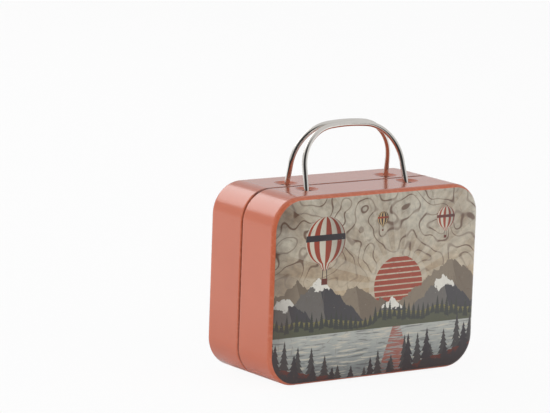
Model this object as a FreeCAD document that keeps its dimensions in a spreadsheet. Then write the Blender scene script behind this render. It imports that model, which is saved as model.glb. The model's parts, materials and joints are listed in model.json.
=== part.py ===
import FreeCAD, Part
import math
import os
import Sketcher
from types import SimpleNamespace

# Small hinged suitcase tin with two wire handles, closed and upright.
# Origin: middle of the hinge barrel's lowest line.
# +X runs along the hinge, +Y to the rear face, +Z up to the handles.
# Lengths in millimetres, angles in degrees.
SIZES = {
    "box_width": 80,
    "box_height": 60,
    "half_depth": 17.5,
    "corner_radius": 10.2,
    "face_edge_radius": 1.5,
    "tin": 0.3,
    "rim_gap": 0.2,
    "curl_radius": 0.8,
    "hinge_margin": 2.8,
    "leaf_width": 8,
    "leaf_thickness": 0.4,
    "leaf_corner": 1.2,
    "pin_diameter": 0.8,
    "pin_clearance": 0.05,
    "pin_overhang": 0.3,
    "pin_chamfer": 0.1,
    "knuckle_gap": 0.2,
    "leaf_setback": 0.3,
    "notch_clearance": 0.3,
    "notch_margin": 0.7,
    "seat_gap": 0.02,
    "rivet_edge_margin": 2.6,
    "rivet_end_margin": 4,
    "rivet_shank": 1.8,
    "rivet_clearance": 0.05,
    "rivet_head": 3.6,
    "rivet_head_height": 0.6,
    "rivet_head_bevel": 0.35,
    "rivet_tail": 2.8,
    "rivet_tail_height": 0.35,
    "hole_offset": 5.8,
    "hole_play": 2.2,
    "dish_margin": 1.9,
    "dish_depth": 1,
    "dish_edge": 0.6,
    "foot_gap": 0.05,
    "wire_diameter": 1.7,
    "handle_span_share": 0.245,
    "handle_height": 21.75,
    "handle_corner": 13.6,
    "handle_crown": 67,
    "leg_lean": 3.5,
    "foot_length": 3.6,
    "foot_bend": 1.5,
    "handle_gap": 0.2,
    "handle_meeting": 1.1,
    "overrun": 1,
}
# The knuckles alternate along the hinge: the rear leaf has the outer ones
FRONT_KNUCKLES = (1, 3)
REAR_KNUCKLES = (0, 2, 4)
KNUCKLES = len(FRONT_KNUCKLES) + len(REAR_KNUCKLES)
RIVET_SIDES = (-1, 0, 1)
FULL_TURN = 360
HALF_TURN = 180
QUARTER_TURN = 90

X_AXIS = FreeCAD.Vector(1, 0, 0)
Z_AXIS = FreeCAD.Vector(0, 0, 1)
# The sketcher's own numbers for an edge's points and for the two axes
START, END, CENTRE = range(1, 4)
H_AXIS, V_AXIS = -START, -END


class Size:
    """A length that carries its number and the formula that the document keeps."""

    def __init__(self, number, formula):
        self.number = number
        self.formula = formula

    def join(self, other, sign, number):
        return Size(number, f"({self.formula} {sign} {formula_of(other)})")

    def __add__(self, other):
        return self.join(other, "+", self.number + number_of(other))

    def __sub__(self, other):
        return self.join(other, "-", self.number - number_of(other))

    def __mul__(self, other):
        return self.join(other, "*", self.number * number_of(other))

    def __truediv__(self, other):
        return self.join(other, "/", self.number / number_of(other))

    def __neg__(self):
        return Size(-self.number, f"(0 - {self.formula})")

    def root(self):
        return Size(math.sqrt(self.number), f"sqrt({self.formula})")

    def tangent(self):
        return Size(math.tan(math.radians(self.number)), f"tan({self.formula} * 1 deg)")

    def arcsine(self):
        return Size(math.degrees(math.asin(self.number)), f"asin({self.formula})")


def number_of(value):
    return value.number if isinstance(value, Size) else value


def formula_of(value):
    return value.formula if isinstance(value, Size) else str(value)


def size_sheet(doc):
    """Writes the driving sizes into the spreadsheet and returns them as sizes by name."""
    sheet = doc.addObject("Spreadsheet::Sheet", "Sizes")
    for row, (name, value) in enumerate(SIZES.items(), start=1):
        sheet.set(f"A{row}", name)
        sheet.set(f"B{row}", str(value))
        sheet.setAlias(f"B{row}", name)
    doc.recompute()
    return SimpleNamespace(**{name: Size(float(sheet.get(name)), f"Sizes.{name}") for name in SIZES})


def derive(s):
    """Adds the sizes that follow from the driving ones."""
    s.pin_radius = s.pin_diameter / 2
    s.eye_radius = s.pin_radius + s.pin_clearance
    s.knuckle_radius = s.eye_radius + s.leaf_thickness
    s.axis_height = s.knuckle_radius
    s.leaf_bottom = s.axis_height + s.eye_radius
    s.bottom = s.leaf_bottom - s.seat_gap - s.tin
    s.top = s.bottom + s.box_height
    s.half_width = s.box_width / 2
    s.half_hinge = s.half_width - s.corner_radius - s.hinge_margin
    s.pitch = s.half_hinge * 2 / KNUCKLES
    s.leaf_edge = s.knuckle_radius + s.leaf_setback
    s.rivet_reach = s.half_hinge - s.rivet_end_margin
    s.rivet_offset = s.leaf_width - s.rivet_edge_margin
    s.rivet_hole_radius = s.rivet_shank / 2 + s.rivet_clearance
    s.half_gap = s.rim_gap / 2
    s.curl_middle = s.half_gap + s.curl_radius
    s.notch_depth = s.curl_middle + s.curl_radius + s.notch_clearance
    s.wire_radius = s.wire_diameter / 2
    s.hole_radius = (s.wire_diameter + s.hole_play) / 2
    s.dish_radius = s.hole_radius + s.dish_margin
    s.dish_sphere = (s.dish_radius * s.dish_radius + s.dish_depth * s.dish_depth) / (s.dish_depth * 2)
    inner_sphere = s.dish_sphere + s.tin
    s.inner_dish_sphere = inner_sphere
    s.inner_dish_radius = (inner_sphere * s.dish_depth * 2 - s.dish_depth * s.dish_depth).root()
    s.handle_half_span = s.box_width * s.handle_span_share
    s.foot_reach = s.handle_half_span + s.foot_length
    s.pivot_drop = s.dish_depth + s.tin + s.foot_gap + s.wire_radius
    # The two handles lean on each other a little behind the seam
    apart = s.wire_radius + s.handle_gap / 2
    s.front_handle_lean = ((s.hole_offset + s.handle_meeting - apart) / s.handle_height).arcsine()
    s.rear_handle_lean = ((s.hole_offset - s.handle_meeting - apart) / s.handle_height).arcsine()


def bind(thing, prop, value):
    thing.setExpression(prop, formula_of(value))


def new_body(doc, name):
    body = doc.addObject("PartDesign::Body", name)
    body.Label = name
    body.AllowCompound = True
    return body


def add_sketch(body, name, role, offset=()):
    """A sketch on one of the body's own origin planes, moved by offset in the plane's own directions."""
    sketch = body.newObject("Sketcher::SketchObject", name)
    plane = next(f for f in body.Origin.OriginFeatures if f.Role == role)
    sketch.AttachmentSupport = [(plane, "")]
    sketch.MapMode = "FlatFace"
    for letter, value in zip("xyz", offset):
        bind(sketch, f"AttachmentOffset.Base.{letter}", value)
    return sketch


def dimension(sketch, kind, where, value):
    index = sketch.addConstraint(Sketcher.Constraint(kind, *where, number_of(value)))
    bind(sketch, f"Constraints[{index}]", value)


def place_point(sketch, geometry, point, x, y):
    """Dimensions a point from the sketch's origin; a plain zero puts it on the axis."""
    for kind, axis, value in (("DistanceX", V_AXIS, x), ("DistanceY", H_AXIS, y)):
        if isinstance(value, Size):
            dimension(sketch, kind, (geometry, point), value)
        else:
            sketch.addConstraint(Sketcher.Constraint("PointOnObject", geometry, point, axis))


def flat(x, y):
    return FreeCAD.Vector(number_of(x), number_of(y), 0)


def angle_from(centre, point):
    return math.atan2(point.y - centre.y, point.x - centre.x)


def draw_edge(sketch, start, end, arc):
    """One edge of an outline: a line, or an arc given by radius, centre and turning direction."""
    if arc is None:
        return sketch.addGeometry(Part.LineSegment(start, end)), START, END
    radius, middle, left = arc
    first, last = (start, end) if left else (end, start)
    circle = Part.Circle(middle, Z_AXIS, number_of(radius))
    begin = angle_from(middle, first)
    finish = angle_from(middle, last)
    if finish <= begin:
        finish += math.radians(FULL_TURN)
    geometry = sketch.addGeometry(Part.ArcOfCircle(circle, begin, finish))
    return (geometry, START, END) if left else (geometry, END, START)


def outline(sketch, corners, arcs=None):
    """A closed outline through the corners; arcs maps a corner's index to the arc that leaves it."""
    arcs = arcs or {}
    edges = []
    for index, corner in enumerate(corners):
        following = corners[(index + 1) % len(corners)]
        arc = arcs.get(index)
        if arc:
            arc = (arc[0], flat(*arc[1]), arc[2])
        edges.append(draw_edge(sketch, flat(*corner), flat(*following), arc))
    for index, (geometry, first, last) in enumerate(edges):
        before, _, before_last = edges[index - 1]
        sketch.addConstraint(Sketcher.Constraint("Coincident", before, before_last, geometry, first))
        place_point(sketch, geometry, first, *corners[index])
        if index in arcs:
            dimension(sketch, "Radius", (geometry,), arcs[index][0])


def rounded_rectangle(sketch, half_width, bottom, top, radius):
    """A rounded rectangle about the vertical axis, begun in the middle of its lower side."""
    inner = half_width - radius
    low = bottom + radius
    high = top - radius
    corners = [
        (0, bottom), (inner, bottom), (half_width, low), (half_width, high), (inner, top),
        (-inner, top), (-half_width, high), (-half_width, low), (-inner, bottom),
    ]
    arcs = {
        1: (radius, (inner, low), True),
        3: (radius, (inner, high), True),
        5: (radius, (-inner, high), True),
        7: (radius, (-inner, low), True),
    }
    outline(sketch, corners, arcs)


def rectangle(sketch, left, right, low, high):
    outline(sketch, [(left, low), (right, low), (right, high), (left, high)])


def circle(sketch, x, y, radius):
    geometry = sketch.addGeometry(Part.Circle(flat(x, y), Z_AXIS, number_of(radius)))
    place_point(sketch, geometry, CENTRE, x, y)
    dimension(sketch, "Radius", (geometry,), radius)


def pad(body, name, sketch, length, reverse=False):
    feature = body.newObject("PartDesign::Pad", name)
    feature.Profile = sketch
    feature.Reversed = reverse
    bind(feature, "Length", length)
    return feature


def pocket(body, name, sketch, length, upward):
    feature = body.newObject("PartDesign::Pocket", name)
    feature.Profile = sketch
    feature.Reversed = upward
    bind(feature, "Length", length)
    return feature


def turn(body, kind, name, sketch):
    """A full turn of the sketch about its own vertical axis."""
    feature = body.newObject(f"PartDesign::{kind}", name)
    feature.Profile = sketch
    feature.ReferenceAxis = (sketch, ["V_Axis"])
    feature.Angle = FULL_TURN
    return feature


def pipe(body, name, section, path):
    feature = body.newObject("PartDesign::AdditivePipe", name)
    feature.Profile = section
    feature.Spine = (path, [f"Edge{n + 1}" for n in range(path.GeometryCount)])
    return feature


def edges_where(feature, wanted):
    """Names of the feature's edges that the test accepts."""
    return [f"Edge{n}" for n, edge in enumerate(feature.Shape.Edges, start=1) if wanted(edge)]


def round_edges(body, name, base, edges, radius):
    feature = body.newObject("PartDesign::Fillet", name)
    feature.Base = (base, edges)
    bind(feature, "Radius", radius)
    return feature


def turned_about_z(body):
    body.Placement = FreeCAD.Placement(FreeCAD.Vector(), FreeCAD.Rotation(Z_AXIS, HALF_TURN))


def rivet_places(s):
    return [s.rivet_reach * side if side else 0 for side in RIVET_SIDES]


def wall_section(body, s):
    """Section of the drawn wall: rounded edge to the face, straight wall, rim curled three quarters round."""
    sketch = add_sketch(body, "wall_section", "YZ_Plane")
    face = -s.half_depth
    bend = face + s.face_edge_radius
    bend_height = s.bottom + s.face_edge_radius
    inner_bend = s.face_edge_radius - s.tin
    curl = -s.curl_middle
    curl_height = s.bottom + s.curl_radius
    curl_end = curl - s.curl_radius
    inner_curl = s.curl_radius - s.tin
    inner_floor = s.bottom + s.tin
    corners = [
        (face, bend_height), (bend, s.bottom), (curl, s.bottom), (curl_end, curl_height),
        (curl_end + s.tin, curl_height), (curl, inner_floor), (bend, inner_floor),
        (face + s.tin, bend_height),
    ]
    arcs = {
        0: (s.face_edge_radius, (bend, bend_height), True),
        2: (s.curl_radius, (curl, curl_height), True),
        4: (inner_curl, (curl, curl_height), False),
        6: (inner_bend, (bend, bend_height), False),
    }
    outline(sketch, corners, arcs)
    return sketch


def press_dish(body, s, side):
    """A shallow round dish pressed into the top wall around one handle hole."""
    centre = (s.handle_half_span * side, s.top, s.hole_offset)
    lens = add_sketch(body, "dish_inside", "XZ_Plane", centre)
    low = -(s.dish_depth + s.tin)
    ball = (s.inner_dish_sphere, (0, low + s.inner_dish_sphere), False)
    outline(lens, [(0, -s.tin), (s.inner_dish_radius, -s.tin), (0, low)], {1: ball})
    turn(body, "Revolution", "dish_inside_turn", lens)
    hollow = add_sketch(body, "dish_outside", "XZ_Plane", centre)
    ball = (s.dish_sphere, (0, s.dish_sphere - s.dish_depth), True)
    corners = [(0, -s.dish_depth), (s.dish_radius, 0), (s.dish_radius, s.overrun), (0, s.overrun)]
    outline(hollow, corners, {0: ball})
    return turn(body, "Groove", "dish_outside_turn", hollow)


def make_shell(doc, s, name, rear):
    """One half of the tin: wall with curled rim, face panel, handle dishes, hinge notch and rivet holes."""
    body = new_body(doc, name)
    path = add_sketch(body, "wall_path", "XZ_Plane")
    rounded_rectangle(path, s.half_width, s.bottom, s.top, s.corner_radius)
    pipe(body, "wall", wall_section(body, s), path)
    panel = add_sketch(body, "face_panel", "XZ_Plane", (0, 0, s.half_depth))
    edge = s.face_edge_radius
    rounded_rectangle(panel, s.half_width - edge, s.bottom + edge, s.top - edge, s.corner_radius - edge)
    pad(body, "face", panel, s.tin, reverse=True)
    for side in (-1, 1):
        dish = press_dish(body, s, side)
    doc.recompute()
    rim = edges_where(dish, lambda e: on_dish_rim(e, s))
    round_edges(body, "dish_rims", dish, rim, s.dish_edge)
    holes = add_sketch(body, "handle_holes", "XY_Plane", (0, 0, s.top))
    for side in (-1, 1):
        circle(holes, s.handle_half_span * side, -s.hole_offset, s.hole_radius)
    pocket(body, "handle_hole_cut", holes, s.dish_depth + s.tin * 2, upward=False)
    notch = add_sketch(body, "hinge_notch", "XY_Plane")
    reach = s.half_hinge + s.notch_margin
    rectangle(notch, -reach, reach, -s.notch_depth, s.overrun)
    pocket(body, "hinge_notch_cut", notch, s.bottom + s.curl_radius * 2 + s.overrun, upward=True)
    rivets = add_sketch(body, "rivet_holes", "XY_Plane")
    for x in rivet_places(s):
        circle(rivets, x, -s.rivet_offset, s.rivet_hole_radius)
    pocket(body, "rivet_hole_cut", rivets, s.bottom + s.tin + s.overrun, upward=True)
    if rear:
        turned_about_z(body)
    return body


def on_dish_rim(edge, s):
    """True for the circles where the dishes meet the top wall."""
    box = edge.BoundBox
    slack = number_of(s.tin) / 2
    level = abs(box.ZMin - number_of(s.top)) < slack and box.ZLength < slack
    if not level or not isinstance(edge.Curve, Part.Circle):
        return False
    return abs(edge.Curve.Radius - number_of(s.dish_radius)) < slack


def make_leaf(doc, s, name, knuckles, rear):
    """A hinge leaf: strip on the inside of the bottom wall, its edge rolled into knuckles around the pin."""
    body = new_body(doc, name)
    strip = add_sketch(body, "strip", "XY_Plane", (0, 0, s.leaf_bottom))
    rectangle(strip, -s.half_hinge, s.half_hinge, -s.leaf_width, -s.leaf_edge)
    plate = pad(body, "strip_pad", strip, s.leaf_thickness)
    doc.recompute()
    far = edges_where(plate, lambda e: is_far_corner(e, s))
    round_edges(body, "strip_corners", plate, far, s.leaf_corner)
    for number in knuckles:
        first = s.pitch * number - s.half_hinge + s.knuckle_gap / 2
        roll = add_sketch(body, f"knuckle_{number + 1}", "YZ_Plane", (0, s.axis_height, first))
        edge = -s.leaf_edge
        corners = [
            (edge, s.eye_radius), (0, s.eye_radius), (-s.eye_radius, 0),
            (-s.knuckle_radius, 0), (0, s.knuckle_radius), (edge, s.knuckle_radius),
        ]
        arcs = {1: (s.eye_radius, (0, 0), False), 3: (s.knuckle_radius, (0, 0), True)}
        outline(roll, corners, arcs)
        pad(body, f"knuckle_{number + 1}_pad", roll, s.pitch - s.knuckle_gap)
    holes = add_sketch(body, "rivet_holes", "XY_Plane", (0, 0, s.leaf_bottom + s.leaf_thickness))
    for x in rivet_places(s):
        circle(holes, x, -s.rivet_offset, s.rivet_hole_radius)
    pocket(body, "rivet_hole_cut", holes, s.leaf_thickness + s.seat_gap, upward=False)
    if rear:
        turned_about_z(body)
    return body


def is_far_corner(edge, s):
    """True for the strip's two upright edges away from the pin."""
    box = edge.BoundBox
    upright = box.ZLength > number_of(s.leaf_thickness) / 2
    return upright and box.YMax < -(number_of(s.leaf_width) + number_of(s.leaf_edge)) / 2


def make_pin(doc, s, name):
    body = new_body(doc, name)
    reach = s.half_hinge + s.pin_overhang
    section = add_sketch(body, "pin_section", "YZ_Plane", (0, s.axis_height, -reach))
    circle(section, 0, 0, s.pin_radius)
    rod = pad(body, "pin", section, reach * 2)
    doc.recompute()
    ends = edges_where(rod, lambda e: e.BoundBox.XLength < number_of(s.pin_radius))
    chamfer = body.newObject("PartDesign::Chamfer", "pin_ends")
    chamfer.Base = (rod, ends)
    bind(chamfer, "Size", s.pin_chamfer)
    return body


def make_rivets(doc, s, name, rear):
    """The rivets of one leaf: pan head inside, shank through leaf and wall, flat closed end outside."""
    body = new_body(doc, name)
    head = s.rivet_head / 2
    shank = s.rivet_shank / 2
    tail = s.rivet_tail / 2
    seat = s.tin + s.seat_gap + s.leaf_thickness + s.seat_gap
    crown = seat + s.rivet_head_height
    low = -(s.seat_gap + s.rivet_tail_height)
    for x in rivet_places(s):
        half = add_sketch(body, "rivet_section", "XZ_Plane", (x, s.bottom, s.rivet_offset))
        corners = [
            (0, low), (tail, low), (tail, -s.seat_gap), (shank, -s.seat_gap), (shank, seat),
            (head, seat), (head, crown - s.rivet_head_bevel), (head - s.rivet_head_bevel, crown), (0, crown),
        ]
        outline(half, corners)
        turn(body, "Revolution", "rivet", half)
    if rear:
        turned_about_z(body)
    return body


def handle_points(s):
    """Where the handle's right half changes from line to arc: plain numbers for the sketch's first guess."""
    lean = math.radians(s.leg_lean.number)
    inward = FreeCAD.Vector(-math.cos(lean), -math.sin(lean), 0)
    upward = FreeCAD.Vector(-math.sin(lean), math.cos(lean), 0)
    hook = s.foot_bend.number * math.tan((math.radians(QUARTER_TURN) - lean) / 2)
    knee = FreeCAD.Vector(s.handle_half_span.number, 0, 0)
    crown_centre = FreeCAD.Vector(0, s.handle_height.number - s.handle_crown.number, 0)
    start = knee + inward * s.handle_corner.number - crown_centre
    along = start.dot(upward)
    reach = s.handle_crown.number - s.handle_corner.number
    rise = -along + math.sqrt(along * along - start.dot(start) + reach * reach)
    corner_centre = knee + upward * rise + inward * s.handle_corner.number
    out = (corner_centre - crown_centre).normalize()
    return SimpleNamespace(
        foot=FreeCAD.Vector(s.foot_reach.number, 0, 0),
        hook_foot=knee + X_AXIS * hook,
        hook_leg=knee + upward * hook,
        hook_centre=knee + X_AXIS * hook + FreeCAD.Vector(0, s.foot_bend.number, 0),
        leg_top=knee + upward * rise,
        corner_centre=corner_centre,
        corner_top=crown_centre + out * s.handle_crown.number,
        crown_centre=crown_centre,
    )


def mirrored(point):
    return FreeCAD.Vector(-point.x, point.y, 0)


def handle_path(body, s):
    """The wire's middle line: foot, hook, leg, corner, crown and the same again on the other side."""
    sketch = add_sketch(body, "wire_path", "XZ_Plane")
    p = handle_points(s)
    right = [
        (p.corner_top, p.leg_top, (s.handle_corner, p.corner_centre, False)),
        (p.leg_top, p.hook_leg, None),
        (p.hook_leg, p.hook_foot, (s.foot_bend, p.hook_centre, True)),
        (p.hook_foot, p.foot, None),
    ]
    left = []
    for first, last, arc in reversed(right):
        turned = arc and (arc[0], mirrored(arc[1]), arc[2])
        left.append((mirrored(last), mirrored(first), turned))
    top = (mirrored(p.corner_top), p.corner_top, (s.handle_crown, p.crown_centre, False))
    edges = [draw_edge(sketch, *edge) for edge in left + [top] + right]
    for (before, _, last), (after, first, _) in zip(edges, edges[1:]):
        sketch.addConstraint(Sketcher.Constraint("Tangent", before, last, after, first))
    upright = Size(QUARTER_TURN, str(QUARTER_TURN)) - s.leg_lean
    straight = s.foot_length - s.foot_bend * (upright / 2).tangent()
    wires = [geometry for geometry, _, _ in edges]
    for chain, tip, side in ((wires[:4], START, -1), (wires[:4:-1], END, 1)):
        foot, hook, leg, corner = chain
        sketch.addConstraint(Sketcher.Constraint("Horizontal", foot))
        place_point(sketch, foot, tip, s.foot_reach * side, 0)
        dimension(sketch, "Distance", (foot,), straight)
        dimension(sketch, "Radius", (hook,), s.foot_bend)
        dimension(sketch, "Radius", (corner,), s.handle_corner)
        incline(sketch, leg, upright * -side)
    crown = wires[4]
    dimension(sketch, "Radius", (crown,), s.handle_crown)
    place_point(sketch, crown, CENTRE, 0, s.handle_height - s.handle_crown)
    return sketch


def incline(sketch, line, degrees):
    """Fixes the direction of a line as drawn, counted from the sketch's horizontal axis."""
    index = sketch.addConstraint(Sketcher.Constraint("Angle", line, math.radians(degrees.number)))
    bind(sketch, f"Constraints[{index}]", f"{degrees.formula} * 1 deg")


def make_handle(doc, s, name, rear):
    """A wire handle that swings about its two hooked feet under the top wall."""
    body = new_body(doc, name)
    path = handle_path(body, s)
    section = add_sketch(body, "wire_section", "YZ_Plane", (0, 0, -s.foot_reach))
    circle(section, 0, 0, s.wire_radius)
    pipe(body, "wire", section, path)
    lean = s.rear_handle_lean if rear else s.front_handle_lean
    side = 1 if rear else -1
    body.Placement = FreeCAD.Placement(FreeCAD.Vector(), FreeCAD.Rotation(X_AXIS * side, lean.number))
    bind(body, "Placement.Base.y", s.hole_offset * side)
    bind(body, "Placement.Base.z", s.top - s.pivot_drop)
    bind(body, "Placement.Rotation.Angle", lean)
    return body


def check(doc, parts):
    """Stops on any object that failed and on any sub-part without a valid solid."""
    for thing in doc.Objects:
        bad = [state for state in thing.State if state in ("Invalid", "Error")]
        if bad:
            raise RuntimeError(f"{thing.Label}: {bad}")
    for part in parts:
        if part.Shape.isNull() or not part.Shape.isValid() or not part.Shape.Solids:
            raise RuntimeError(f"{part.Label}: no valid solid")


def main():
    doc = FreeCAD.newDocument("suitcase_tin")
    s = size_sheet(doc)
    derive(s)
    parts = [
        make_shell(doc, s, "front_shell", rear=False),
        make_shell(doc, s, "rear_shell", rear=True),
        make_leaf(doc, s, "front_hinge_leaf", FRONT_KNUCKLES, rear=False),
        make_leaf(doc, s, "rear_hinge_leaf", REAR_KNUCKLES, rear=True),
        make_pin(doc, s, "hinge_pin"),
        make_rivets(doc, s, "front_hinge_rivets", rear=False),
        make_rivets(doc, s, "rear_hinge_rivets", rear=True),
        make_handle(doc, s, "front_handle", rear=False),
        make_handle(doc, s, "rear_handle", rear=True),
    ]
    doc.recompute()
    check(doc, parts)
    os.makedirs("parts", exist_ok=True)
    for part in parts:
        part.Shape.exportStep(f"parts/{part.Label}.step")


main()
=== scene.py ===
import json
import math

import bpy
from mathutils import Matrix, Vector

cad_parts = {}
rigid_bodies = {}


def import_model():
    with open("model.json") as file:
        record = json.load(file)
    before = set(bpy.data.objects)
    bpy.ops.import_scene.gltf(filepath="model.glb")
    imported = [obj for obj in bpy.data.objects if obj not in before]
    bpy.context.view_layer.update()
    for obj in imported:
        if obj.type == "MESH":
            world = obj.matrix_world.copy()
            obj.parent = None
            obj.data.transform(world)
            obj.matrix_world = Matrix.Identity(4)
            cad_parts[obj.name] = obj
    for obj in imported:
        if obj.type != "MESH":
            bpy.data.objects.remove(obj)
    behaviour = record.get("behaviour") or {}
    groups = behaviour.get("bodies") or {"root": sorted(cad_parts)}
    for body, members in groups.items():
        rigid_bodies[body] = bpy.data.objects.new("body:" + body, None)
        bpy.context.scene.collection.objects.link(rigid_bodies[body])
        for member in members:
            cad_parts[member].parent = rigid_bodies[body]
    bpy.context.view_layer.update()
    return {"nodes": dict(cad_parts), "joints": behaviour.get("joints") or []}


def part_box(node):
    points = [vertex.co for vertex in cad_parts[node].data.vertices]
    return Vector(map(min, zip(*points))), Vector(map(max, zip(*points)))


# Looks of a small hinged suitcase tin: lacquered tinplate, printed faces, bright wire handles, steel hinge.
# The frame is in metres. The materials count in millimetres, from the middle of the box.


for thing in list(bpy.data.objects):
    bpy.data.objects.remove(thing)
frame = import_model()

MM = 1000
# Sizes that the frame gives
shell_low, shell_high = (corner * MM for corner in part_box("rear_shell"))
handle_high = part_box("rear_handle")[1] * MM
handle_joint = next(joint for joint in frame["joints"] if joint["name"] == "rear_handle_swing")
HALF_WIDTH = shell_high.x
HALF_DEPTH = shell_high.y
HALF_HEIGHT = (shell_high.z - shell_low.z) / 2
BOX_MIDDLE = (shell_high.z + shell_low.z) / 2

# Sizes of the pressed sheet and of the handle's foot, as in the part's source
TIN = 0.3
TIN_SOFT = TIN / 4
CORNER = 10.2
FACE_EDGE = 1.5
CURL = 0.8
CURL_MIDDLE = shell_low.y + CURL
HANDLE_FOOT = 3.6
HOLE = 1.95
HOLE_X = handle_high.x - HANDLE_FOOT
HOLE_Y = handle_joint["pos_m"][1] * MM
DISH_MARGIN = 1.9
DISH_EDGE = 0.6
DISH_DEPTH = 1
DISH = HOLE + DISH_MARGIN
DISH_REACH = DISH + DISH_EDGE + TIN / 2
DISH_SPHERE = (DISH ** 2 + DISH_DEPTH ** 2) / (2 * DISH_DEPTH)

# The print sits a little to the right of and below the middle of the face, as in the photograph
PRINT_MIDDLE = (0.47, -0.25)
PRINT_SIDE_INSET = 0.57
PRINT_TOP_INSET = 0.85
PRINT_CORNER_INSET = 0.7
PRINT_HALF = (HALF_WIDTH - PRINT_SIDE_INSET, HALF_HEIGHT - PRINT_TOP_INSET)
PRINT_CORNER = CORNER - PRINT_CORNER_INSET
SOFT = 0.06
FULL_TURN = 2 * math.pi
X_AXIS = Vector((1, 0, 0))
Y_AXIS = Vector((0, 1, 0))
UP = Vector((0, 0, 1))


def ink(red, green, blue):
    """A colour given as it looks on a screen, as the linear colour that the shaders take."""
    parts = [part / 255 for part in (red, green, blue)]
    linear = [c / 12.92 if c <= 0.04045 else ((c + 0.055) / 1.055) ** 2.4 for c in parts]
    return (*linear, 1)


def grey(level):
    """A linear grey."""
    return (level, level, level, 1)


ORANGE = ink(199, 103, 70)
ORANGE_DEEP = ink(188, 92, 61)
ORANGE_WORN = ink(218, 140, 110)
# Dark brown for the painted shade in the seam between the two halves
SEAM_SHADE = ink(92, 44, 32)
SLATE = ink(104, 118, 152)
SLATE_DEEP = ink(88, 101, 135)
BARE_TIN = ink(150, 146, 142)
NICKEL = (0.80, 0.77, 0.73, 1)
NICKEL_CLOUDED = (0.70, 0.67, 0.62, 1)
HINGE_GREY = ink(116, 118, 126)
HINGE_DARK = ink(96, 98, 107)
HINGE_RUBBED = ink(164, 162, 160)
RIVET = ink(176, 172, 166)
PIN = ink(160, 158, 156)
STEEL_PIT = ink(96, 94, 92)
CREAM = ink(212, 204, 186)
OCHRE = ink(202, 170, 122)
STAIN = ink(150, 118, 84)
WASH = ink(112, 110, 104)
LINE = ink(96, 66, 50)
BORDER = ink(66, 46, 40)
CHARCOAL = ink(52, 46, 50)
DUSK = ink(136, 122, 104)
DUSK_DEEP = ink(118, 104, 88)
SLOPE_LIT = ink(106, 101, 96)
SLOPE_DARK = ink(66, 63, 66)
SNOW = ink(228, 224, 214)
RUST = ink(158, 66, 44)
RUST_DARK = ink(104, 44, 34)
OLIVE = ink(126, 118, 72)
MOSS = ink(84, 86, 66)
PINE_FAR = ink(58, 60, 54)
PINE_NEAR = ink(66, 62, 62)
WATER = ink(180, 182, 176)
WATER_DEEP = ink(138, 143, 142)
WHITE = grey(1)
BLACK = grey(0)
STUDIO_DARK = grey(0.04)
FLOOR_TONE = grey(0.96)


class Field:
    """A number that varies over a surface: a node's output, with the arithmetic of plain numbers."""

    def __init__(self, tree, socket):
        self.tree = tree
        self.socket = socket

    def math(self, operation, *others, clamp=False):
        node = self.tree.nodes.new("ShaderNodeMath")
        node.operation = operation
        node.use_clamp = clamp
        for value, socket in zip((self, *others), node.inputs):
            feed(self.tree, value, socket)
        return Field(self.tree, node.outputs[0])

    def __add__(self, other):
        return self.math("ADD", other)

    def __sub__(self, other):
        return self.math("SUBTRACT", other)

    def __mul__(self, other):
        return self.math("MULTIPLY", other)

    def __truediv__(self, other):
        return self.math("DIVIDE", other)

    def __abs__(self):
        return self.math("ABSOLUTE")

    def least(self, other):
        return self.math("MINIMUM", other)

    def most(self, other):
        return self.math("MAXIMUM", other)

    def fract(self):
        return self.math("FRACT")

    def length(self, other):
        return (self * self + other * other).math("SQRT")

    def ramp(self, slope, start):
        """A straight line over the field's values, kept between 0 and 1."""
        return self.math("MULTIPLY_ADD", slope, start, clamp=True)

    def above(self, limit, soft=SOFT):
        """A mask: 1 where the field is over the limit, 0 under it, with a soft edge."""
        return (self - limit).ramp(0.5 / soft, 0.5)

    def below(self, limit, soft=SOFT):
        return (self - limit).ramp(-0.5 / soft, 0.5)

    def swing(self, size):
        """Noise between 0 and 1, as a value of the given size about zero."""
        return (self - 0.5) * size


def feed(tree, value, socket):
    """Links a field or a socket to an input, or sets a plain number there."""
    if isinstance(value, Field):
        value = value.socket
    if isinstance(value, bpy.types.NodeSocket):
        tree.links.new(value, socket)
    else:
        socket.default_value = value


class Picture:
    """A colour built up in layers, each laid over the ones before it."""

    def __init__(self, tree, ground):
        self.tree = tree
        self.colour = ground

    def lay(self, mask, colour, share=1):
        """Lays a colour where the mask is 1; with a share under 1 what is below shows through."""
        if share < 1:
            mask = mask * share
        node = self.tree.nodes.new("ShaderNodeMix")
        node.data_type = "RGBA"
        for value, name in ((mask, "Factor_Float"), (self.colour, "A_Color"), (colour, "B_Color")):
            feed(self.tree, value, next(s for s in node.inputs if s.identifier == name))
        self.colour = next(s for s in node.outputs if s.identifier == "Result_Color")


def new_material(name):
    """A material with one Principled shader; returns the material, its tree and the shader."""
    material = bpy.data.materials.new(name)
    material.use_nodes = True
    tree = material.node_tree
    tree.nodes.clear()
    shader = tree.nodes.new("ShaderNodeBsdfPrincipled")
    output = tree.nodes.new("ShaderNodeOutputMaterial")
    tree.links.new(shader.outputs["BSDF"], output.inputs["Surface"])
    return material, tree, shader


def millimetres(tree):
    """The surface point in millimetres from the middle of the box: a vector socket and three fields."""
    place = tree.nodes.new("ShaderNodeTexCoord").outputs["Object"]
    scale = tree.nodes.new("ShaderNodeVectorMath")
    scale.operation = "MULTIPLY_ADD"
    tree.links.new(place, scale.inputs[0])
    scale.inputs[1].default_value = (MM, MM, MM)
    scale.inputs[2].default_value = UP * -BOX_MIDDLE
    parts = tree.nodes.new("ShaderNodeSeparateXYZ")
    tree.links.new(scale.outputs[0], parts.inputs[0])
    return scale.outputs[0], [Field(tree, socket) for socket in parts.outputs]


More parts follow.
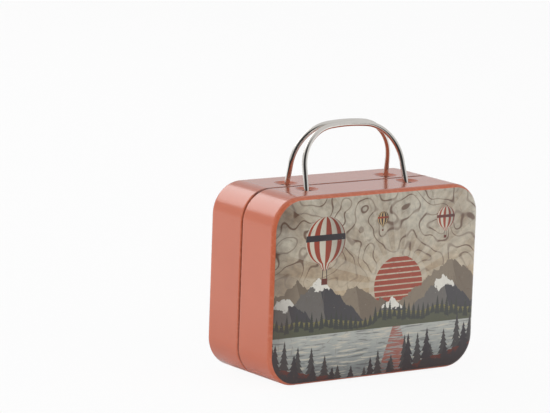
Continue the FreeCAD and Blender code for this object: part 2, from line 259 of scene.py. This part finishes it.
def noise(tree, vector, per_mm, detail, roughness=0.5):
    """Noise between 0 and 1 with so many waves to the millimetre."""
    node = tree.nodes.new("ShaderNodeTexNoise")
    node.inputs["Scale"].default_value = per_mm
    node.inputs["Detail"].default_value = detail
    node.inputs["Roughness"].default_value = roughness
    tree.links.new(vector, node.inputs["Vector"])
    return Field(tree, node.outputs["Fac"])


def line_noise(tree, along, per_mm, detail=3):
    """Noise along one coordinate only."""
    node = tree.nodes.new("ShaderNodeTexNoise")
    node.noise_dimensions = "1D"
    node.inputs["Scale"].default_value = per_mm
    node.inputs["Detail"].default_value = detail
    feed(tree, along, node.inputs["W"])
    return Field(tree, node.outputs["Fac"])


def stretched(tree, vector, factors):
    """The vector with each of its parts times its own factor."""
    node = tree.nodes.new("ShaderNodeVectorMath")
    node.operation = "MULTIPLY"
    tree.links.new(vector, node.inputs[0])
    node.inputs[1].default_value = factors
    return node.outputs[0]


def joined(tree, x, y):
    """Two fields as one flat vector."""
    node = tree.nodes.new("ShaderNodeCombineXYZ")
    feed(tree, x, node.inputs[0])
    feed(tree, y, node.inputs[1])
    return node.outputs[0]


def bump(tree, shader, height, depth):
    """Relief of the given depth in millimetres, from a field between 0 and 1."""
    node = tree.nodes.new("ShaderNodeBump")
    node.inputs["Strength"].default_value = 1
    node.inputs["Distance"].default_value = depth / MM
    feed(tree, height, node.inputs["Height"])
    tree.links.new(node.outputs["Normal"], shader.inputs["Normal"])


# Sky: ochre gains towards the horizon, and the map lines end above it
OCHRE_MIDDLE = 0.5
OCHRE_PER_MM = 0.026
WASH_FROM = 2
WASH_FADE = 10
CONTOURS = 16
CONTOURS_FROM = 3
CONTOURS_FADE = 6


def paint_sky(tree, picture, flat, v, blotch, fine):
    """Aged parchment with stains and the contour lines of a map."""
    picture.lay(v.ramp(-OCHRE_PER_MM, OCHRE_MIDDLE), OCHRE)
    picture.lay(blotch.above(0.52, soft=0.16), STAIN, share=0.75)
    picture.lay(fine.above(0.48, soft=0.2) * v.above(WASH_FROM, soft=WASH_FADE), WASH, share=0.45)
    level = (noise(tree, flat, per_mm=0.045, detail=2) * CONTOURS).fract()
    lines = abs(level - 0.5).below(0.08, soft=0.04)
    picture.lay(lines * v.above(CONTOURS_FROM, soft=CONTOURS_FADE), LINE, share=0.85)


# Sun: a slatted disc with a halo and rays
SUN = (9, -1)
SUN_RADIUS = 9.5
SUN_HALO = 11.5
SUN_HALO_SOFT = 0.15
SUN_RAYS = 22
SUN_SLATS_PER_MM = 0.55


def paint_sun(picture, u, v):
    """A low sun behind the mountains."""
    across = u - SUN[0]
    up = v - SUN[1]
    rays = (up.math("ARCTAN2", across) * (SUN_RAYS / FULL_TURN)).fract()
    picture.lay(rays.above(0.5, soft=0.04), CREAM, share=0.3)
    away = across.length(up)
    picture.lay(away.below(SUN_HALO, soft=SUN_HALO_SOFT), CREAM, share=0.35)
    slats = (up * SUN_SLATS_PER_MM).fract().above(0.22, soft=0.06)
    picture.lay(away.below(SUN_RADIUS) * slats, RUST)


# Mountains: the place of each top, its height and the slope of its sides
FAR_PEAKS = ((-30, 3, 0.55), (30, 6, 0.6), (-8, 0, 0.5))
NEAR_PEAKS = ((27, 1, 0.8), (-22, 4, 0.85), (-35, -1, 0.8), (7, -5, 0.7))
JAG = 5
JAG_LEAN = 0.35
RIDGE_WANDER = 1.6
RIDGE_LEAN = 0.22
RIDGE_SOFT = 0.2
SNOW_DEPTH = 4.5
SNOW_SLOPE = 0.35
SNOW_JAG = 1.7


def paint_peak(picture, u, v, jag, peak, lit, dark):
    """One mountain with a lit and a dark side; returns where it is."""
    x, top, slope = peak
    away = u - x
    body = v.below(jag + top - abs(away) * slope)
    picture.lay(body, lit)
    ridge = away + jag * RIDGE_WANDER + (v - top) * RIDGE_LEAN
    picture.lay(ridge.above(0, soft=RIDGE_SOFT) * body, dark)
    return body


def paint_snow(picture, u, v, jag, peak, body):
    """Snow on the top of a mountain."""
    x, top, _ = peak
    line = abs(u - x) * SNOW_SLOPE + jag * SNOW_JAG + (top - SNOW_DEPTH)
    picture.lay(v.above(line) * body, SNOW)


def paint_mountains(tree, picture, flat, u, v):
    """Two ranges, the near one with snow."""
    jag = line_noise(tree, u + v * JAG_LEAN, per_mm=0.32, detail=4).swing(JAG)
    snow_jag = noise(tree, flat, per_mm=0.3, detail=4, roughness=0.6).swing(JAG)
    for peak in FAR_PEAKS:
        paint_peak(picture, u, v, jag, peak, DUSK, DUSK_DEEP)
    for peak in NEAR_PEAKS:
        body = paint_peak(picture, u, v, jag, peak, SLOPE_LIT, SLOPE_DARK)
        paint_snow(picture, u, v, snow_jag, peak, body)


# Balloons: place, radius, and the colours of the gores and the band
BALLOONS = (
    ((-20, 15.5), 7.6, (CREAM, RUST, CHARCOAL)),
    ((27, 19.5), 3.6, (RUST, CREAM, RUST_DARK)),
    ((2, 21), 2.2, (CHARCOAL, OCHRE, RUST)),
)
GORES = 5
# The parts of a balloon, as shares of its radius from its middle
CONE_TIP = -1.45
CONE_SPREAD = 0.62
CONE_HALF = 0.86
MOUTH = -1.25
BAND = 0.12
BAND_HALF = 0.13
SHADE_LEAN = 0.3
SHADE_START = 0.34
SHADE_SOFT = 0.5
ROPE_TOP = -1.2
ROPE_END = -1.62
ROPE_SPREAD = 0.06
ROPE_HALF = 0.02
BASKET = -1.72
BASKET_HALF_WIDTH = 0.15
BASKET_HALF_HEIGHT = 0.13


def paint_balloon(picture, u, v, place, radius, colours):
    """A hot-air balloon with gores, band, ropes and basket."""
    edge = SOFT / radius
    across = (u - place[0]) / radius
    up = (v - place[1]) / radius
    ball = (up * up * -1 + 1).most(0).math("SQRT")
    cone = ((up - CONE_TIP) * CONE_SPREAD).least(CONE_HALF)
    half = ball.most(cone * up.below(0, edge) * up.above(MOUTH, edge))
    body = abs(across).below(half, edge) * half.above(edge / 3, edge)
    picture.lay(body, colours[0])
    gore = (across / half.most(edge)).math("ARCSINE")
    stripe = (gore * (GORES / math.pi) + 0.5).fract().above(0.5, soft=0.03)
    picture.lay(body * stripe, colours[1])
    picture.lay(body * abs(up - BAND).below(BAND_HALF, edge), colours[2])
    shade = (across + up * SHADE_LEAN).above(SHADE_START, SHADE_SOFT)
    picture.lay(body * shade, CHARCOAL, share=0.45)
    rope = abs(abs(across) - (up * -ROPE_SPREAD + ROPE_HALF)).below(ROPE_HALF, edge)
    picture.lay(rope * up.below(ROPE_TOP, edge) * up.above(ROPE_END, edge), CHARCOAL)
    basket = abs(across).below(BASKET_HALF_WIDTH, edge) * abs(up - BASKET).below(BASKET_HALF_HEIGHT, edge)
    picture.lay(basket, RUST_DARK)


# Rows of pines: pitch, height, shift along the row in pitches, and colour
FAR_ROW = (1.9, 4.5, 0.3, PINE_FAR)
BACK_ROW = (5.2, 13, 0.1, PINE_NEAR)
FRONT_ROW = (7.4, 16, 0.62, CHARCOAL)
PINE_TIERS = 6
# Shares: least height and spread of the row's height, half width of the pitch, notch of the half width,
# root of the pine's own height
PINE_LEAST = 0.45
PINE_SPREAD = 0.6
PINE_HALF = 0.52
PINE_NOTCH = 0.45
PINE_ROOT = -0.5


def paint_pines(tree, picture, u, v, ground, row):
    """A row of pines of differing height that stand on the line ground."""
    pitch, height, shift, colour = row
    place = u / pitch + shift
    chance = tree.nodes.new("ShaderNodeTexWhiteNoise")
    chance.noise_dimensions = "1D"
    feed(tree, place.math("FLOOR"), chance.inputs["W"])
    luck = Field(tree, chance.outputs["Value"])
    tall = luck * (height * PINE_SPREAD) + height * PINE_LEAST
    aside = abs(place.fract() - 0.5) * pitch
    rise = (v - ground) / tall
    tier = (rise * PINE_TIERS).fract() * -PINE_NOTCH + 1
    half = (rise * -1 + 1) * tier * (pitch * PINE_HALF)
    picture.lay(aside.below(half) * rise.below(1) * rise.above(PINE_ROOT), colour)


# Far shore: heights are from the middle of the face, drops from the line of the shore
SHORE = -10
SHORE_SWING = 9
MOSS_DROP = 1.6
MOSS_SWING = 4
MOSS_SOFT = 0.4
FAR_ROW_DROP = 1


def paint_shore(tree, picture, u, v, fine):
    """Hills with pines on the far shore."""
    shore = line_noise(tree, u, per_mm=0.06).swing(SHORE_SWING) + SHORE
    picture.lay(v.below(shore), OLIVE)
    picture.lay(v.below(shore - MOSS_DROP + fine.swing(MOSS_SWING), soft=MOSS_SOFT), MOSS)
    paint_pines(tree, picture, u, v, shore - FAR_ROW_DROP, FAR_ROW)


# Lake: it deepens downwards, and the sun's path widens downwards from a point
LAKE = -14.4
DEEP_FROM = -16
DEEP_PER_MM = 0.1
RIPPLES_PER_MM = (0.12, 1.3, 1)
PATH_POINT = -10
PATH_SPREAD = 0.35


def paint_lake(tree, picture, flat, u, v):
    """Water with ripples and the sun's path."""
    water = v.below(LAKE)
    picture.lay(water, WATER)
    picture.lay(water * (v - DEEP_FROM).ramp(-DEEP_PER_MM, 0), WATER_DEEP)
    ripple = noise(tree, stretched(tree, flat, RIPPLES_PER_MM), per_mm=1, detail=3)
    picture.lay(water * ripple.above(0.58, soft=0.03), CREAM, share=0.7)
    picture.lay(water * ripple.below(0.4, soft=0.03), CHARCOAL, share=0.5)
    path = abs(u - SUN[0]).below((v - PATH_POINT) * -PATH_SPREAD)
    picture.lay(water * path * ripple.above(0.47, soft=0.04), RUST, share=0.8)


# Near bank: lowest a little left of the middle, rising to both sides
BANK_X = -3
BANK = -31.5
BANK_SLOPE = 0.22
BANK_SWING = 3
BACK_ROW_DROP = 1.5
FRONT_ROW_DROP = 4.5
SOIL_DROP = 1.2
SOIL_SWING = 5
SOIL_SOFT = 0.6


def paint_bank(tree, picture, u, v, fine):
    """The near bank with tall pines."""
    bank = abs(u - BANK_X) * BANK_SLOPE + BANK + line_noise(tree, u, per_mm=0.2).swing(BANK_SWING)
    paint_pines(tree, picture, u, v, bank - BACK_ROW_DROP, BACK_ROW)
    picture.lay(v.below(bank), RUST_DARK)
    picture.lay(v.below(bank - SOIL_DROP + fine.swing(SOIL_SWING), soft=SOIL_SOFT), CHARCOAL)
    paint_pines(tree, picture, u, v, bank - FRONT_ROW_DROP, FRONT_ROW)


# Brown border at the left and below: how far it reaches in from the edge, with the blotches
LEFT_REACH = 16
LEFT_START = 2
LEFT_SOFT = 5
LOW_REACH = 9
LOW_START = 1
LOW_SOFT = 4
# Hairlines between cells; their bend and width are shares of a cell
CELLS_PER_MM = 0.11
HAIRLINE_BEND = 0.05
HAIRLINE = 0.026
HAIRLINE_SOFT = 0.006


def crackle(tree, vector):
    """Hairlines of old ink."""
    cells = tree.nodes.new("ShaderNodeTexVoronoi")
    cells.feature = "DISTANCE_TO_EDGE"
    cells.inputs["Scale"].default_value = CELLS_PER_MM
    tree.links.new(vector, cells.inputs["Vector"])
    bend = noise(tree, vector, per_mm=0.5, detail=3) * HAIRLINE_BEND
    return (Field(tree, cells.outputs["Distance"]) + bend).below(HAIRLINE, HAIRLINE_SOFT)


def paint_age(tree, picture, flat, u, v, blotch, fine):
    """Specks, hairlines, worn ink and a brown border."""
    picture.lay(noise(tree, flat, per_mm=1.4, detail=2).above(0.72, soft=0.03), LINE, share=0.55)
    worn = noise(tree, flat, per_mm=0.9, detail=5, roughness=0.7)
    picture.lay(worn.above(0.68, soft=0.03), CREAM, share=0.45)
    picture.lay(crackle(tree, flat), LINE, share=0.35)
    picture.lay(fine.above(0.5, soft=0.2), CHARCOAL, share=0.1)
    left = (blotch * LEFT_REACH - u - HALF_WIDTH).above(LEFT_START, soft=LEFT_SOFT)
    low = (blotch * LOW_REACH - v - HALF_HEIGHT).above(LOW_START, soft=LOW_SOFT)
    picture.lay(left.most(low), BORDER, share=0.5)


def paint_print(tree, picture, u, v):
    """A generic travel scene: parchment sky with a low sun, balloons, mountains, pines and a lake."""
    flat = joined(tree, u, v)
    blotch = noise(tree, flat, per_mm=0.07, detail=5, roughness=0.6)
    fine = noise(tree, flat, per_mm=0.55, detail=4, roughness=0.65)
    paint_sky(tree, picture, flat, v, blotch, fine)
    paint_sun(picture, u, v)
    paint_mountains(tree, picture, flat, u, v)
    for place, radius, colours in BALLOONS:
        paint_balloon(picture, u, v, place, radius, colours)
    paint_shore(tree, picture, u, v, fine)
    paint_lake(tree, picture, flat, u, v)
    paint_bank(tree, picture, u, v, fine)
    paint_age(tree, picture, flat, u, v, blotch, fine)


def rounded_distance(x, z, half_width, half_height, radius):
    """Distance outside a rounded rectangle about the middle; negative inside."""
    beside = abs(x) - (half_width - radius)
    over = abs(z) - (half_height - radius)
    return beside.most(0).length(over.most(0)) + beside.most(over).least(0) - radius


def tin_fields(x, y, z):
    """Masks of the tin's outside, print, cut edges and bends, and x as it is seen on each face."""
    depth = abs(y)
    face = HALF_DEPTH - FACE_EDGE
    around = rounded_distance(x, z, HALF_WIDTH, HALF_HEIGHT, CORNER)
    past_edge = around + FACE_EDGE
    past_face = depth - face
    skin = past_edge.most(0).length(past_face.most(0)) + past_edge.most(past_face).least(0) - FACE_EDGE
    outside = skin.above(-TIN / 2, TIN_SOFT)
    # The curl turns the outside of the sheet inwards, all but the quarter that faces the wall
    from_curl = (around + CURL).length(depth - CURL_MIDDLE)
    curl = from_curl.above(CURL - TIN / 2, TIN_SOFT) * depth.below(CURL_MIDDLE + CURL + TIN_SOFT)
    outside = outside.most(curl * around.below(-1.6 * TIN).most(depth.below(CURL_MIDDLE)))
    # The dish is a part of a ball whose middle is above the top wall
    from_hole = (abs(x) - HOLE_X).length(depth - HOLE_Y)
    from_ball = from_hole.length(z - (HALF_HEIGHT - DISH_DEPTH + DISH_SPHERE))
    dish = from_hole.below(DISH_REACH) * z.above(0) * from_ball.below(DISH_SPHERE + TIN / 2, TIN_SOFT)
    outside = outside.most(dish)
    side = x * y.math("SIGN") * -1
    sheet = rounded_distance(side - PRINT_MIDDLE[0], z - PRINT_MIDDLE[1], *PRINT_HALF, PRINT_CORNER)
    printed = sheet.below(0) * depth.above(face) * outside
    cut = from_hole.below(HOLE + TIN / 10, TIN / 6) * z.above(0)
    rim = from_curl.below(CURL + TIN) * depth.below(CURL_MIDDLE)
    face_bend = abs(around + FACE_EDGE / 2).below(FACE_EDGE / 2) * depth.above(face)
    return outside, printed, cut, rim.most(face_bend), side


# Painted shade darkens the whole seam between the halves, and a wider band of the seam on the top wall
SEAM_HALF = 0.3
SEAM_SOFT = 0.25
TOP_SEAM_HALF = 0.75
TOP_SEAM_SOFT = 0.35
TOP_WALL_REACH = 2
TOP_WALL = HALF_HEIGHT - TOP_WALL_REACH
TOP_WALL_SOFT = 0.5
LACQUER_MATTE = 0.24
LINING_MATTE = 0.4
MATTE_SWING = 0.1
TIN_SWELL = 0.06


def lacquered_tin():
    """Tinplate, orange outside and slate blue inside, with a print on each face under clear varnish."""
    material, tree, shader = new_material("lacquered_tin")
    place, (x, y, z) = millimetres(tree)
    outside, printed, cut, bends, side = tin_fields(x, y, z)
    cloud = noise(tree, place, per_mm=0.06, detail=3)
    scuff = noise(tree, place, per_mm=0.8, detail=6, roughness=0.7)
    seam = abs(y)
    lacquer = Picture(tree, ORANGE)
    lacquer.lay(cloud.above(0.5, soft=0.2), ORANGE_DEEP, share=0.35)
    # Painted shade: the seam between the halves is darkened all round, and more widely on the top wall
    lacquer.lay(seam.below(SEAM_HALF, SEAM_SOFT), SEAM_SHADE, share=0.75)
    top_seam = seam.below(TOP_SEAM_HALF, TOP_SEAM_SOFT) * z.above(TOP_WALL, TOP_WALL_SOFT)
    lacquer.lay(top_seam, SEAM_SHADE, share=0.8)
    lacquer.lay(bends * scuff.above(0.6, soft=0.12), ORANGE_WORN, share=0.5)
    lacquer.lay(bends * scuff.above(0.74, soft=0.02), BARE_TIN, share=0.8)
    face = Picture(tree, CREAM)
    paint_print(tree, face, side, z)
    lacquer.lay(printed, face.colour)
    whole = Picture(tree, SLATE)
    whole.lay(cloud.above(0.5, soft=0.2), SLATE_DEEP, share=0.6)
    whole.lay(scuff.above(0.7, soft=0.04), BARE_TIN, share=0.25)
    whole.lay(outside, lacquer.colour)
    whole.lay(cut, BARE_TIN)
    tree.links.new(whole.colour, shader.inputs["Base Color"])
    matte = outside * (LACQUER_MATTE - LINING_MATTE) + LINING_MATTE + cloud.swing(MATTE_SWING)
    feed(tree, matte, shader.inputs["Roughness"])
    feed(tree, cut, shader.inputs["Metallic"])
    shader.inputs["Coat Weight"].default_value = 0.6
    shader.inputs["Coat Roughness"].default_value = 0.16
    bump(tree, shader, noise(tree, place, per_mm=0.11, detail=1), TIN_SWELL)
    return material


WIRE_MATTE = 0.05
WIRE_MARK_DEPTH = 0.005


def bright_wire():
    """Nickel-plated drawn wire: fine drawing marks and slight clouding."""
    material, tree, shader = new_material("bright_wire_plated")
    place, _ = millimetres(tree)
    cloud = noise(tree, place, per_mm=0.35, detail=3)
    marks = noise(tree, place, per_mm=4.5, detail=4)
    plating = Picture(tree, NICKEL)
    plating.lay(cloud.above(0.5, soft=0.2), NICKEL_CLOUDED, share=0.4)
    tree.links.new(plating.colour, shader.inputs["Base Color"])
    shader.inputs["Metallic"].default_value = 1
    feed(tree, cloud * 0.08 + marks * 0.06 + WIRE_MATTE, shader.inputs["Roughness"])
    bump(tree, shader, marks, WIRE_MARK_DEPTH)
    return material


HINGE_GRAIN = (0.25, 3, 3)
HINGE_MATTE = 0.28
HINGE_GRAIN_DEPTH = 0.02


def hinge_steel():
    """Dark hinge strip: rolled steel, blackened, rubbed on its raised spots."""
    material, tree, shader = new_material("hinge_steel_dark")
    place, _ = millimetres(tree)
    rolled = noise(tree, stretched(tree, place, HINGE_GRAIN), per_mm=1.2, detail=4)
    cloud = noise(tree, place, per_mm=0.4, detail=4)
    coat = Picture(tree, HINGE_GREY)
    coat.lay(rolled.above(0.5, soft=0.2), HINGE_DARK, share=0.5)
    coat.lay(cloud.above(0.66, soft=0.05), HINGE_RUBBED, share=0.4)
    tree.links.new(coat.colour, shader.inputs["Base Color"])
    shader.inputs["Metallic"].default_value = 0.4
    feed(tree, rolled * 0.2 + cloud * 0.1 + HINGE_MATTE, shader.inputs["Roughness"])
    bump(tree, shader, rolled, HINGE_GRAIN_DEPTH)
    return material


RIVET_MATTE = 0.16
RIVET_PIT_DEPTH = 0.02


def rivet_steel(name, tone):
    """Pressed steel of the rivets and the pin, a little dull."""
    material, tree, shader = new_material(name)
    place, _ = millimetres(tree)
    pits = noise(tree, place, per_mm=3, detail=4)
    cloud = noise(tree, place, per_mm=0.7, detail=3)
    steel = Picture(tree, tone)
    steel.lay(pits.above(0.6, soft=0.1), STEEL_PIT, share=0.5)
    tree.links.new(steel.colour, shader.inputs["Base Color"])
    shader.inputs["Metallic"].default_value = 1
    feed(tree, pits * 0.2 + cloud * 0.15 + RIVET_MATTE, shader.inputs["Roughness"])
    bump(tree, shader, pits, RIVET_PIT_DEPTH)
    return material


def dress(nodes):
    """Gives each node of the frame its material."""
    tin = lacquered_tin()
    wire = bright_wire()
    strip = hinge_steel()
    rivets = rivet_steel("rivet_steel_dull", RIVET)
    pin = rivet_steel("pin_steel_drawn", PIN)
    looks = {
        "front_shell": tin, "rear_shell": tin,
        "front_handle": wire, "rear_handle": wire,
        "front_hinge_leaf": strip, "rear_hinge_leaf": strip,
        "front_hinge_rivets": rivets, "rear_hinge_rivets": rivets,
        "hinge_pin": pin,
    }
    for name, material in looks.items():
        nodes[name].material_slots[0].material = material


# The photograph's view, in metres, with lens and sensor in millimetres.
# The real tin leans forward on its hinge barrel, and the camera takes that as roll.
AZIMUTH = math.radians(-35.118)
ELEVATION = math.radians(10.027)
ROLL = math.radians(2.063)
SENSOR = 36
LENS = 229.09
AIM = Vector((0, 0, 0.03298))
CAMERA_AWAY = 1.11982
CAMERA_LEFT = 0.021847
CAMERA_UP = 0.019682
TO_CAMERA = Vector((
    math.sin(AZIMUTH) * math.cos(ELEVATION),
    -math.cos(AZIMUTH) * math.cos(ELEVATION),
    math.sin(ELEVATION),
))
LEVEL_RIGHT = Vector((math.cos(AZIMUTH), math.sin(AZIMUTH), 0))
# The camera's right, as the front face mirrors it
MIRRORED_RIGHT = LEVEL_RIGHT * Vector((1, -1, 1))


def make_camera():
    """The camera at the photograph's viewing angle."""
    upright = TO_CAMERA.cross(LEVEL_RIGHT)
    right = LEVEL_RIGHT * math.cos(ROLL) + upright * math.sin(ROLL)
    up = upright * math.cos(ROLL) - LEVEL_RIGHT * math.sin(ROLL)
    data = bpy.data.cameras.new("photo_view")
    data.sensor_fit = "HORIZONTAL"
    data.sensor_width = SENSOR
    data.lens = LENS
    camera = bpy.data.objects.new("photo_view", data)
    bpy.context.scene.collection.objects.link(camera)
    place = AIM - right * CAMERA_LEFT + up * CAMERA_UP + TO_CAMERA * CAMERA_AWAY
    turn = Matrix((right, up, TO_CAMERA)).transposed().to_4x4()
    camera.matrix_world = Matrix.Translation(place) @ turn
    bpy.context.scene.camera = camera


def reach(tree, output, direction):
    """How far a point or a direction of the surroundings goes along the given direction."""
    node = tree.nodes.new("ShaderNodeVectorMath")
    node.operation = "DOT_PRODUCT"
    tree.links.new(tree.nodes.new("ShaderNodeTexCoord").outputs[output], node.inputs[0])
    node.inputs[1].default_value = direction
    return Field(tree, node.outputs["Value"])


def mix_shaders(tree, share, first, second):
    """The first shader's output, with a share of the second."""
    node = tree.nodes.new("ShaderNodeMixShader")
    feed(tree, share, node.inputs["Fac"])
    tree.links.new(first.outputs[0], node.inputs[1])
    tree.links.new(second.outputs[0], node.inputs[2])
    return node


# The soft light weakens from the horizon to the zenith. Mirrored, all is dimmer, and dark round the camera.
HORIZON_LIGHT = 0.8
ZENITH_LOSS = 0.57
MIRROR_LOSS = 0.3
DARK_FROM = 0.6
DARK_SOFT = 0.15


def make_world():
    """White surroundings, with a soft light from all round."""
    world = bpy.data.worlds.new("studio")
    bpy.context.scene.world = world
    world.use_nodes = True
    tree = world.node_tree
    tree.nodes.clear()
    light = tree.nodes.new("ShaderNodeBackground")
    light.inputs["Color"].default_value = WHITE
    strength = reach(tree, "Generated", UP).ramp(-ZENITH_LOSS, HORIZON_LIGHT)
    feed(tree, strength, light.inputs["Strength"])
    rays = tree.nodes.new("ShaderNodeLightPath")
    mirrored = Field(tree, rays.outputs["Is Glossy Ray"])
    surroundings = Picture(tree, WHITE)
    surroundings.lay(mirrored, BLACK, share=MIRROR_LOSS)
    dark = reach(tree, "Generated", TO_CAMERA).above(DARK_FROM, DARK_SOFT)
    surroundings.lay(dark * mirrored, STUDIO_DARK)
    view = tree.nodes.new("ShaderNodeBackground")
    tree.links.new(surroundings.colour, view.inputs["Color"])
    seen = Field(tree, rays.outputs["Is Camera Ray"]).most(mirrored)
    seen = seen.most(Field(tree, rays.outputs["Is Transmission Ray"]))
    output = tree.nodes.new("ShaderNodeOutputWorld")
    tree.links.new(mix_shaders(tree, seen, light, view).outputs[0], output.inputs["Surface"])


# The floor, in metres. Mirrored, it is white away from the box, and dark at the left near the camera.
FLOOR_SIZE = 6
FLOOR_CLEAR = 0.93
FLOOR_WHITE_FROM = 0.1
FLOOR_WHITE_SOFT = 0.05
FLOOR_DARK_FROM = 0.085
FLOOR_DARK_SOFT = 0.05
FLOOR_DARK_RIGHT = 0.005
FLOOR_DARK_RIGHT_SOFT = 0.03


def make_floor():
    """A pale floor that takes the shadow, mostly clear, so that the half opened below it shows."""
    bpy.ops.mesh.primitive_plane_add(size=FLOOR_SIZE)
    floor = bpy.context.object
    floor.name = "studio_floor"
    material = bpy.data.materials.new("pale_floor")
    material.use_nodes = True
    tree = material.node_tree
    tree.nodes.clear()
    rays = tree.nodes.new("ShaderNodeLightPath")
    mirrored = Field(tree, rays.outputs["Is Glossy Ray"])
    matte = tree.nodes.new("ShaderNodeBsdfDiffuse")
    matte.inputs["Color"].default_value = FLOOR_TONE
    clear = tree.nodes.new("ShaderNodeBsdfTransparent")
    straight = Field(tree, rays.outputs["Is Camera Ray"]) * FLOOR_CLEAR
    plain = mix_shaders(tree, straight, matte, clear)
    near_camera = reach(tree, "Object", TO_CAMERA).above(FLOOR_DARK_FROM, FLOOR_DARK_SOFT)
    to_the_left = reach(tree, "Object", MIRRORED_RIGHT).below(FLOOR_DARK_RIGHT, FLOOR_DARK_RIGHT_SOFT)
    dark = near_camera * to_the_left * mirrored
    backdrop = Picture(tree, WHITE)
    backdrop.lay(dark, STUDIO_DARK)
    glow = tree.nodes.new("ShaderNodeEmission")
    tree.links.new(backdrop.colour, glow.inputs["Color"])
    away = reach(tree, "Object", X_AXIS).length(reach(tree, "Object", Y_AXIS))
    share = (mirrored * away.above(FLOOR_WHITE_FROM, FLOOR_WHITE_SOFT)).most(dark)
    share = share.most(Field(tree, rays.outputs["Is Transmission Ray"]))
    output = tree.nodes.new("ShaderNodeOutputMaterial")
    tree.links.new(mix_shaders(tree, share, plain, glow).outputs[0], output.inputs["Surface"])
    floor.data.materials.append(material)


# Lamps, in metres and watts; only the one behind the box shows in the gloss
LAMP_TARGET = Vector((0, 0, 0.03))
LAMPS = (
    {"name": "left_softbox", "place": (-0.85, -0.05, 0.4), "size": (1.3, 0.42), "power": 3.3},
    {"name": "front_softbox", "place": (0.5, -0.85, 0.24), "size": (0.9, 0.42), "power": 2.6},
    {
        "name": "back_softbox", "place": (-0.2, 0.83, 0.57), "size": (0.75, 0.45), "power": 2.2,
        "mirrored": True,
    },
)


def make_lamp(name, place, size, power, mirrored=False):
    """A soft rectangular lamp that points at the box."""
    data = bpy.data.lights.new(name, "AREA")
    data.shape = "RECTANGLE"
    data.size, data.size_y = size
    data.energy = power
    lamp = bpy.data.objects.new(name, data)
    bpy.context.scene.collection.objects.link(lamp)
    lamp.visible_glossy = mirrored
    lamp.location = place
    lamp.rotation_euler = (LAMP_TARGET - lamp.location).to_track_quat("-Z", "Y").to_euler()


bpy.context.scene.view_settings.view_transform = "Standard"
make_camera()
make_world()
make_floor()
for lamp in LAMPS:
    make_lamp(**lamp)
dress(frame["nodes"])
